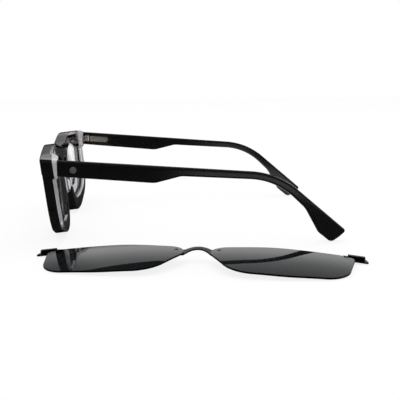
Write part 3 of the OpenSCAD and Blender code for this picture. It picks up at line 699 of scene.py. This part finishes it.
def brick(low, high):
    """A box as eight points and six faces."""
    x, y, z = [np.array([low[k], high[k]]) for k in range(3)]
    points = np.array([[i, j, k] for k in z for j in y for i in x], float)
    return points, [[0, 2, 3, 1], [4, 5, 7, 6], [0, 1, 5, 4], [2, 6, 7, 3], [0, 4, 6, 2], [1, 3, 7, 5]]


MAGNET_AT, MAGNET_OUT = np.array([65.8, -7.239, 35.623]), np.array([0.094, -0.989173, -0.112702])
MAGNET_R, MAGNET_T, PAST = 1.5, 1.2, 1.0
PIN = np.array([63.35, 2.6, 36.72])
LEAF_HALF_W, LEAF_DEEP, LEAF_HALF_H = 1.62, 3.82, 1.52
for flip in (1, -1):
    turn_over = np.array([flip, 1, 1])
    cut(front_layers[0], *drum(MAGNET_AT * turn_over, MAGNET_OUT * turn_over, MAGNET_R + PLAY,
                               -MAGNET_T - PLAY, PAST))
    low, high = PIN - [LEAF_HALF_W, LEAF_DEEP, LEAF_HALF_H], PIN + [LEAF_HALF_W, 0, LEAF_HALF_H]
    ends = np.sort([low[0] * flip, high[0] * flip])
    cut(front_layers[1], *brick([ends[0], low[1], low[2]], [ends[1], high[1], high[2]]))
for layer in front_layers:
    layer.data.shade_smooth()
    layer.data.set_sharp_from_angle(angle=SHARP)
    true_normals(layer.data)
    print(layer.name, len(layer.data.polygons), "faces after the pockets")

# %% [markdown]
# Clear acetate looks clear through its face and milky where one looks into its
# depth: at the blocks behind the endpieces and at the sawn outer walls. Seen from
# behind, the black sheet shows through it, and beside the nose it looks black all
# round. Those points are marked. A wall faces outwards where its normal points away
# from the middle of the eye.

# %% Mark the thick places
WALL_MILK = 0.6


def mark_thick(layer):
    """Writes a layer's point attributes "thick" and "backed", each a product of smooth steps in
    where a point is and which way it faces. Outer walls are less milky than blocks."""
    mesh = layer.data
    values = np.empty((2, len(mesh.vertices) * 3))
    mesh.vertices.foreach_get("co", values[0])
    mesh.vertices.foreach_get("normal", values[1])
    at, normal = values.reshape(2, -1, 3)
    away = np.column_stack([np.abs(at[:, 0]) / MM - EYE_X, at[:, 2] / MM - EYE_V])
    away /= np.linalg.norm(away, axis=1)[:, None]
    sideways = normal[:, 0] * np.sign(at[:, 0])
    facing = sideways * away[:, 0] + normal[:, 2] * away[:, 1]
    outwards = smooth(facing, 0.3, 0.7) * smooth(sideways, 0.3, 0.8)
    block = smooth(np.abs(at[:, 0]) / MM, 57, 58.5) * smooth(at[:, 2] / MM, 31, 32.5)
    thick = np.maximum(WALL_MILK * outwards, block)
    nasal = smooth(28 - np.abs(at[:, 0]) / MM, 0, 4)
    backed = np.maximum(smooth(normal[:, 1], 0.7, 0.95), nasal) * (1 - block)
    for name, share in [("thick", thick), ("backed", backed)]:
        mesh.attributes.new(name, "FLOAT", "POINT").data.foreach_set("value", share.astype(np.float32))
    return thick


print("share of thick points:", round(float(mark_thick(front_layers[1]).mean()), 2))

# %% [markdown]
# ## The temples
# A temple is sawn from flat sheet with a wire core shot into it, then tumbled, so
# its edges are rounder than the front's. Seen from the side it is one outline from
# the butt at the joint round the tip. Seen from above it gets thinner towards the
# tip and curls in behind the ear bend. It ends square at the joint, in a cap.

# %% Temples
BUTT_TOP, TEMPLE_H, TEMPLE_T, TIP_T, TIP_Y, BEND_Y = 40.26, 7.2, 4.0, 3.0, 132.6, 100.0
TOE_IN, CURL_Y, CURL = np.tan(np.radians(1.9)), 95.0, 0.001


def temple_top(y):
    """The straight upper edge falls by TEMPLE_SLOPE for each millimetre back."""
    return BUTT_TOP - TEMPLE_SLOPE * y


def temple_outer(y, z):
    """Outer face: end of the front, less the toe-in, less the curl that grows as a square."""
    return END_X - TOE_IN * y - CURL * np.maximum(0, y - CURL_Y) ** 2


def temple_inner(y, z):
    """The outer face less the thickness, which falls evenly from the joint to the tip."""
    return temple_outer(y, z) - TEMPLE_T - (TIP_T - TEMPLE_T) * y / TIP_Y


BEND_Z = temple_top(BEND_Y)
UNDER = [[0.15, BUTT_TOP - TEMPLE_H, 0], [43.5, temple_top(43.5) - TEMPLE_H - 0.55, 10],
         [55.5, temple_top(55.5) - 3.9, 8], [98.8, temple_top(98.8) - 3.35, 32],
         [112.7, 0.488 * BEND_Z, 12], [118.9, 0.1386 * BEND_Z, 3], [125.3, -0.70, 2.6]]
OVER = [[TIP_Y, 4.6, 1.2], [BEND_Y, BEND_Z, 38], [0.15, temple_top(0.15), 0]]
whole = outline(UNDER + OVER, closed=False)
tip_middle = np.array([129.0, 1.75])
split = np.flatnonzero((whole[:, 0] > 120) & (whole[:, 1] < tip_middle[1]))[-1]
HALF_COUNT = 230
below = spread(np.vstack([whole[:split + 1], tip_middle]), HALF_COUNT)
above = spread(np.vstack([tip_middle, whole[split + 1:]]), HALF_COUNT)
temple_edge = np.vstack([below[:-1], above[1:]])
temple_in = inward(temple_edge)
temple_in[0], temple_in[-1] = (0, 1), (0, -1)
TUMBLED = 0.85
set_in = temple_edge + temple_in * TUMBLED
spine = (set_in + set_in[::-1]) / 2
points, faces = plate(temple_edge, temple_in, None, spine, temple_outer, temple_inner,
                      TUMBLED, TUMBLED, 5, cap=True)
for side, p, f in both_sides(points[:, [2, 0, 1]], faces):
    piece("temple_" + side + "_acetate", p, f, "temple_" + side, BLACK_ACETATE,
          ["temple_" + side, "temple_core_" + side])

# %% [markdown]
# ## The sun clip
# The clip lies with its bulging side up, its tabs and the lenses' lower edges on the
# table. The lenses are cut from a sheet that is bent more across than along, which
# is what gives the long gradient in the photograph. They are worked out in the
# clip's own plane and laid down with one turn about the vertical and one tilt.

# %% Where the clip lies
CLIP_AT, CLIP_TURN, CLIP_TILT = np.array([105.7, 59.6, 4.640]), np.radians(80), np.radians(5.62)
SUN_MID_X, SUN_R, SUN_T, ACROSS_R, CROWN, SUN_EDGE = 15.0, 400.0, 0.8, 190.0, 0.25, 0.18


def lay(points):
    """From the clip's plane to the room: tilt about x, turn about z, then move."""
    c, s = np.cos(CLIP_TILT), np.sin(CLIP_TILT)
    p = points @ np.array([[1, 0, 0], [0, c, -s], [0, s, c]]).T
    c, s = np.cos(CLIP_TURN), np.sin(CLIP_TURN)
    return p @ np.array([[c, -s, 0], [s, c, 0], [0, 0, 1]]).T + CLIP_AT


def sun_top(x, v):
    """A toric face: it drops from its crown by distance squared over twice the radius, each way."""
    return CROWN - (x - SUN_MID_X) ** 2 / SUN_R / 2 - v ** 2 / ACROSS_R / 2


def sun_under(x, v):
    """The same face one thickness lower."""
    return sun_top(x, v) - SUN_T


SUN_SHAPE = [[-0.713, -0.885, 0.581], [0.109, -0.982, 2.264], [0.879, -0.828, 0.438],
             [1.0565, 0.736, 0.174], [-0.121, 0.9265, 2.04], [-1.171, 0.71, 0.2755]]
SUN_REACH = [[0, -0.3], [0, -0.3], [3, -0.3], [3, 0.3], [0, 0.3], [-2.8, 0.3]]
SUN = [[EYE_X + HALF_W * a + p, HALF_H * b + q, HALF_W * r]
       for (a, b, r), (p, q) in zip(SUN_SHAPE, SUN_REACH)]
sun_edge = spread(outline(SUN), 320, closed=True)
middle = np.repeat([[EYE_X, 0.5]], len(sun_edge), axis=0)
points, faces = plate(sun_edge, inward(sun_edge, closed=True), None, middle, sun_top, sun_under,
                      SUN_EDGE, SUN_EDGE, 26)
for side, p, f in both_sides(points, faces):
    piece("sun_lens_" + side + "_tinted", lay(p), f, "clip", SUN_TINT_AND_PAINTED_SHADOW, ["sun_lens_" + side])

# %% [markdown]
# The bridge is a flat steel strip, blanked as an arch between two feet and then
# pressed forward over the nose. Arch and bend both follow one hump: 1 - s squared,
# s the share of the way from the middle to the end of the arch. The height of the
# bend is the same on both faces, so that the strip keeps its thickness.

# %% Bridge strip
SUN_IN_X = SUN[5][0] + 0.61 * SUN[5][2]
FOOT_X, FOOT_V, FOOT_H, STRIP_H = SUN_IN_X + 5.2, SUN[5][1] - 3.5, 5.4, 3.0
STRIP_T, STRIP_UP, STRIP_RISE, STRIP_EDGE = 0.7, 1.0, 3.1, 0.22
LOW_X, HIGH_X, BEND_X = SUN_IN_X + 0.3, SUN_IN_X + 1.8, SUN_IN_X - 0.1
FOOT_Z = -((SUN_IN_X - SUN_MID_X) ** 2 + (FOOT_V + FOOT_H / 2) ** 2) / SUN_R / 2 - SUN_T - 0.02


def hump(x, half):
    """1 - s squared, with s = x / half, and nothing beyond s = 1."""
    return np.maximum(0, 1 - (x / half) ** 2)


def strip_top(x, v):
    """The foot's height, and the bend over the nose on top of it."""
    return FOOT_Z + STRIP_UP * hump(x, BEND_X)


def strip_low(x, v):
    """The same face one thickness lower."""
    return strip_top(x, v) - STRIP_T


arch_x = np.linspace(-1, 1, 61)
low_arch = np.column_stack([arch_x * LOW_X, FOOT_V - FOOT_H / 2
                            + (STRIP_RISE + (FOOT_H - STRIP_H) / 2) * hump(arch_x, 1)])
high_arch = np.column_stack([-arch_x * HIGH_X, FOOT_V + FOOT_H / 2
                             + (STRIP_RISE - (FOOT_H - STRIP_H) / 2) * hump(arch_x, 1)])
foot = outline([[LOW_X, FOOT_V - FOOT_H / 2, 0], [FOOT_X, FOOT_V - FOOT_H / 2, 1],
                [FOOT_X, FOOT_V, 0]], closed=False)
foot_above = foot[::-1] * [1, -1] + [0, 2 * FOOT_V]
low_side = np.vstack([foot[::-1] * [-1, 1], low_arch, foot])
high_side = np.vstack([foot_above, high_arch, foot_above[::-1] * [-1, 1]])
strip_edge = np.vstack([spread(low_side, 120)[:-1], spread(high_side, 120)[:-1]])
strip_in = inward(strip_edge, closed=True)
set_in = strip_edge + strip_in * STRIP_EDGE
strip_spine = (set_in + np.roll(set_in[::-1], 1, axis=0)) / 2
points, faces = plate(strip_edge, strip_in, None, strip_spine, strip_top, strip_low,
                      STRIP_EDGE, STRIP_EDGE, 3)
piece("clip_bridge_strip", lay(points), faces, "clip", GUNMETAL, ["clip_bridge"])

# %% [markdown]
# ## Small metal parts
# Hinges, tabs, bars, magnets and rivets keep the exact shape of the model. A copy of
# each mesh has its doubles merged, its flat faces joined again and its edges broken
# by a narrow bevel, because a blanked or turned part never has a knife edge, and
# that thin bright line is what the eye reads as metal.

# %% Softened copies
MERGE_METRES = 2e-6


def softened(node, material, width_mm):
    """A copy of a CAD node's mesh: its doubles merged, its flat faces joined, its edges bevelled."""
    source = frame["nodes"][node]
    mesh = source.data.copy()
    work = bmesh.new()
    work.from_mesh(mesh)
    bmesh.ops.remove_doubles(work, verts=work.verts, dist=MERGE_METRES)
    bmesh.ops.dissolve_limit(work, angle_limit=np.radians(1), verts=work.verts, edges=work.edges)
    work.to_mesh(mesh)
    work.free()
    mesh.materials.clear()
    mesh.materials.append(material)
    made = bpy.data.objects.new(node + "_finished", mesh)
    bpy.context.scene.collection.objects.link(made)
    bevel = made.modifiers.new("broken_edges", "BEVEL")
    bevel.width, bevel.segments, bevel.limit_method = width_mm * MM, 2, "ANGLE"
    bevel.angle_limit, bevel.harden_normals = np.radians(40), True
    mesh.shade_smooth()
    mesh.set_sharp_from_angle(angle=np.radians(50))
    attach(made, source["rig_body"])
    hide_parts(node)
    return made


SMALL = [("hinge_leaf", CHAMPAGNE, "champagne_metal", 0.1), ("hinge_screw", STEEL, "bright_steel", 0.06),
         ("hinge_slider", STEEL, "bright_steel", 0.08),
         ("spring_housing", CHAMPAGNE, "champagne_metal", 0.3),
         ("temple_stud", SATIN, "bright_steel", 0.08), ("dock_magnet", MAGNET, "magnet", 0.06),
         ("clip_tab", GUNMETAL, "gunmetal", 0.15), ("clip_bar", GUNMETAL, "gunmetal", 0.2),
         ("tab_rivet", GUNMETAL, "gunmetal", 0.08), ("bridge_rivet", GUNMETAL, "gunmetal", 0.08)]
for stem, material, slot, width in SMALL:
    for side in ("left", "right"):
        softened(stem + "_" + side, material, width)
print("softened pieces:", 2 * len(SMALL))

# %% [markdown]
# ## Nose pads
# The pads are small domes of clear acetate, glued to the back of the rims. Each is
# worked out as rings from a stadium outline to its crown: at share s from the crown
# to the rim the height is the pad's height times the root of 1 - s squared.

# %% Nose pads
PAD_L, PAD_W, PAD_H, PAD_GLUE, PAD_POINTS, PAD_RINGS = 12.0, 4.2, 2.4, 0.02, 72, 14
PAD_DOWN = 12
lean = np.arctan2(NOSE_FLARE, BRIDGE_V)
PAD_V = BRIDGE_V - PAD_DOWN
PAD_X = NOSE_GAP + PAD_DOWN * np.tan(lean) + PAD_W / 2 + 0.5
u = np.linspace(0, 2 * np.pi, PAD_POINTS, endpoint=False)
ring = np.column_stack([PAD_W / 2 * np.cos(u), (PAD_L / 2 - PAD_W / 2) * np.sign(np.sin(u))
                        * np.abs(np.sin(u)) ** 0.35 + PAD_W / 2 * np.sin(u)])
share = np.sin(np.linspace(0, np.pi / 2, PAD_RINGS))[:, None, None]
flat = ring * share
height = np.repeat(PAD_H * np.sqrt(np.maximum(0, 1 - share[:, :, 0] ** 2)), len(u), axis=1)
dome = np.concatenate([flat, height[:, :, None]], axis=2)
floor_rows = np.concatenate([flat[::-1][1:], np.zeros((PAD_RINGS - 1, len(u), 1))], axis=2)
pad = np.concatenate([dome, floor_rows])
faces = grid_faces(len(pad), len(u), None, False, True)
pad_points, pad_faces = weld(pad.reshape(-1, 3), faces)
c, s = np.cos(lean), np.sin(lean)
turned = np.column_stack([pad_points[:, 0] * c + pad_points[:, 1] * s,
                          -pad_points[:, 0] * s + pad_points[:, 1] * c, pad_points[:, 2]])
wrap = np.arcsin(PAD_X / BOW_R)
behind = ALL_T + PAD_GLUE + turned[:, 2]
x = PAD_X + turned[:, 0] * np.cos(wrap) - behind * np.sin(wrap)
w = -bow(PAD_X) - turned[:, 0] * np.sin(wrap) - behind * np.cos(wrap)
pad_at = to_front(np.column_stack([x, PAD_V + turned[:, 1], w]))
for side, p, f in both_sides(pad_at, [f[::-1] for f in pad_faces]):
    piece("nose_pad_" + side + "_dome", p, f, "front", CLEAR_ACETATE,
          ["nose_pad_" + side])

# %% [markdown]
# ## Flex springs
# The CAD holds each spring as a sleeve. The real one is steel wire wound round the
# rod, with a closed turn at both ends. A circle carried along a helix makes it, in
# the sleeve's own space. It rides on the temple.

# %% Wound springs
COIL_TURNS, POINTS_PER_TURN, WIRE_SIDES, FLEX_TRAVEL = 9, 32, 10, 1.2


def coil(foot, axis, length, outer, inner):
    """Helix: centre radius times (cos a, sin a) across the axis. Its height grows evenly with a, but
    over the first and last turn by one wire thickness. Round it runs a circle of the wire's radius."""
    wire = (outer - inner) / 2
    across = np.cross(axis, [0, 0, 1])
    across /= np.linalg.norm(across)
    third = np.cross(axis, across)
    turns = np.linspace(0, COIL_TURNS, COIL_TURNS * POINTS_PER_TURN + 1)
    rise = np.interp(turns, [0, 1, COIL_TURNS - 1, COIL_TURNS],
                     [wire, 3 * wire, length - 3 * wire, length - wire])
    a = 2 * np.pi * turns[:, None, None]
    b = np.linspace(0, 2 * np.pi, WIRE_SIDES, endpoint=False)[None, :, None]
    outwards = np.cos(a) * across + np.sin(a) * third
    points = foot + rise[:, None, None] * axis + outwards * (outer - wire + wire * np.cos(b)) \
        + wire * np.sin(b) * axis
    faces = grid_faces(len(turns), WIRE_SIDES, None, False, True).tolist()
    last = np.arange(len(turns) * WIRE_SIDES)[-WIRE_SIDES:].tolist()
    return points.reshape(-1, 3), faces + [list(range(WIRE_SIDES)), last[::-1]]


joints = {joint["name"]: joint for joint in frame["record"]["behaviour"]["joints"]}
for side in ("left", "right"):
    sleeve = frame["nodes"]["flex_spring_" + side].data
    sleeve_at = np.empty(len(sleeve.vertices) * 3)
    sleeve.vertices.foreach_get("co", sleeve_at)
    sleeve_at = sleeve_at.reshape(-1, 3) / MM
    axis = np.array(joints["temple_flex_" + side]["axis"])
    axis /= np.linalg.norm(axis)
    along, centre = sleeve_at @ axis, sleeve_at.mean(0)
    length = along.max() - along.min()
    foot = centre + axis * (along.min() - centre @ axis)
    reach = np.linalg.norm(sleeve_at - centre - np.outer(along - centre @ axis, axis), axis=1)
    points, faces = coil(foot, axis, length, reach.max(), reach.min())
    spring = piece("flex_spring_" + side + "_coil", points, faces, "temple_" + side, SPRING_WIRE,
                   ["flex_spring_" + side])
    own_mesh(spring)
    print("spring", round(length, 2), "mm long, radii", round(reach.min(), 2), round(reach.max(), 2))

# %% [markdown]
# ## Nodes that stay as they are
# The spectacle lenses are ground to the shape that is modelled, and the nuts and the
# clip's magnets are hidden inside the hinges and the tabs. They get their materials.

# %% Materials of the kept nodes
KEPT = {"lens": CLEAR_RESIN, "slider_nut": STEEL, "clip_magnet": MAGNET}
for stem, material in KEPT.items():
    for side in ("left", "right"):
        node = frame["nodes"][stem + "_" + side]
        node.data.materials.clear()
        node.data.materials.append(material)
print("kept nodes:", 2 * len(KEPT))

# %% [markdown]
# ## Floor, light and background
# The photograph is a cut-out on white with next to no shadow, lit by large soft
# sources behind and above, with a dark room on the camera's side, which keeps the
# near sides black. The world is white for the camera and through glass. Polished
# faces see a long light panel, low and bright and fading upwards, and the dark room
# to the wearer's left. Everything else sees white, less that room. The floor is pale
# paper, and polished faces see painted shade on it: in their reflections it is dark
# grey on the camera's side and ahead of the frame.

# %% Floor
FLOOR_LOW, SEEN_WHITE = 0.00012, 0.85
FLOOR_CORNERS = [(-1.2, -1.0, 0), (0.31, -1.0, 0), (0.31, 1.1, 0), (-1.2, 1.1, 0)]
SOFT = {"interpolation_type": "SMOOTHSTEP"}


def floor():
    """Paper that is nearly white to the camera. Polished faces see painted shade on it: dark grey
    between 0.05 and 0.2 m to the left and ahead of 0.095 m. It lies just under the object, clear of its
    faces."""
    material, tree, out = finish_of("white_studio_sweep")
    grain = wear(tree, 60, 2.0)
    tint = add(tree, "ValToRGB", Fac=grain.outputs["Fac"])
    tint.color_ramp.elements[0].color = linear("#f4f4f4")
    tint.color_ramp.elements[1].color = linear("#f8f8f8")
    light = add(tree, "LightPath")
    place = add(tree, "SeparateXYZ", Vector=add(tree, "TexCoord").outputs["Object"])
    # Zones of painted shade on the floor, seen only in reflections: the camera's side and ahead of the
    # frame.
    near = add(tree, "MapRange", SOFT, i0=place.outputs["X"], i1=0.05, i2=0.07)
    strip = add(tree, "MapRange", SOFT, i0=place.outputs["X"], i1=0.17, i2=0.2, i3=1.0, i4=0.0)
    side = add(tree, "Math", {"operation": "MULTIPLY"}, i0=near.outputs[0], i1=strip.outputs[0])
    ahead = add(tree, "MapRange", SOFT, i0=place.outputs["Y"], i1=0.06, i2=0.095, i3=1.0, i4=0.0)
    painted_shade_zones = add(tree, "Math", {"operation": "MAXIMUM"}, i0=side.outputs[0], i1=ahead.outputs[0])
    painted_shade_in_gloss = add(tree, "Math", {"operation": "MULTIPLY"}, i0=painted_shade_zones.outputs[0],
              i1=light.outputs["Is Glossy Ray"])
    # Painted shade: in reflections only, the paper turns dark grey in those zones.
    paper_and_painted_shade = add(tree, "Mix", {"data_type": "RGBA"}, Factor=painted_shade_in_gloss.outputs[0],
                       i6=tint.outputs["Color"], i7=linear("#3a3a3a"))
    paper = add(tree, "BsdfDiffuse", Color=paper_and_painted_shade.outputs[2])
    glow = add(tree, "Emission", Color=(1, 1, 1, 1), Strength=1.0)
    seen = add(tree, "Math", {"operation": "MAXIMUM"}, i0=light.outputs["Is Camera Ray"],
               i1=light.outputs["Is Transmission Ray"])
    part = add(tree, "Math", {"operation": "MULTIPLY"}, i0=seen.outputs[0], i1=SEEN_WHITE)
    mix = add(tree, "MixShader", Fac=part.outputs[0], i1=paper.outputs[0], i2=glow.outputs[0])
    tree.links.new(mix.outputs[0], out.inputs["Surface"])
    mesh = bpy.data.meshes.new("studio_floor")
    mesh.from_pydata(FLOOR_CORNERS, [], [(0, 1, 2, 3)])
    made = bpy.data.objects.new("studio_floor", mesh)
    bpy.context.scene.collection.objects.link(made)
    made.location.z = -FLOOR_LOW
    mesh.materials.append(material)
    return made


print("floor:", floor().name)

# %% World
PANEL = [(0.2, "#303030"), (0.29, "#ffffff"), (0.35, "#ffffff"), (0.47, "#c6c6c6"), (0.65, "#808080"),
         (0.9, "#303030")]
world = bpy.data.worlds.new("studio")
bpy.context.scene.world = world
world.use_nodes = True
sky = world.node_tree
sky.nodes.clear()
out = add(sky, "OutputWorld")
direction = add(sky, "SeparateXYZ", Vector=add(sky, "TexCoord").outputs["Generated"])
rise = add(sky, "ValToRGB", Fac=direction.outputs["Z"])
steps = rise.color_ramp.elements
steps[0].position, steps[1].position = PANEL[0][0], PANEL[-1][0]
for position, _ in PANEL[1:-1]:
    steps.new(position)
for element, (_, grey) in zip(steps, PANEL):
    element.color = linear(grey)
sideways = add(sky, "MapRange", SOFT, i0=direction.outputs["X"], i1=0.15, i2=0.6, i3=0.0, i4=1.0)
lowly = add(sky, "MapRange", SOFT, i0=direction.outputs["Z"], i1=0.35, i2=0.75, i3=1.0, i4=0.0)
dark_part = add(sky, "Math", {"operation": "MULTIPLY"}, i0=sideways.outputs[0], i1=lowly.outputs[0])
rays = add(sky, "LightPath")
panel_end = add(sky, "MapRange", SOFT, i0=direction.outputs["Y"], i1=-0.22, i2=-0.12, i3=0.5, i4=1.0)
above = add(sky, "Mix", {"data_type": "RGBA", "blend_type": "MULTIPLY"}, Factor=1.0,
            i6=rise.outputs["Color"], i7=panel_end.outputs[0])
panel = add(sky, "Mix", {"data_type": "RGBA"}, Factor=rays.outputs["Is Glossy Ray"], i6=(1, 1, 1, 1),
            i7=above.outputs[2])
shade = add(sky, "Mix", {"data_type": "RGBA"}, Factor=dark_part.outputs[0], i6=panel.outputs[2],
            i7=linear("#202020"))
room = add(sky, "Background", Color=shade.outputs[2], Strength=1.0)
white = add(sky, "Background", Color=(1, 1, 1, 1), Strength=1.0)
seen = add(sky, "Math", {"operation": "MAXIMUM"}, i0=rays.outputs["Is Camera Ray"],
           i1=rays.outputs["Is Transmission Ray"])
both = add(sky, "MixShader", Fac=seen.outputs[0], i1=room.outputs[0], i2=white.outputs[0])
sky.links.new(both.outputs[0], out.inputs["Surface"])
print("light panel, share of white at each rise:", PANEL)

# %% Lamp
LAMP_SIZE, LAMP_WATTS = 0.9, 3.2
lamp_data = bpy.data.lights.new("soft_box", "AREA")
lamp_data.shape, lamp_data.size, lamp_data.energy = "SQUARE", LAMP_SIZE, LAMP_WATTS
lamp = bpy.data.objects.new("soft_box", lamp_data)
bpy.context.scene.collection.objects.link(lamp)
lamp.location = (-0.25, 0.05, 1.0)
lamp.visible_glossy = False
bpy.context.scene.view_settings.view_transform = "Standard"
print("lamp, watts:", lamp_data.energy)

# %% [markdown]
# ## The end

# %% The end
print("done")
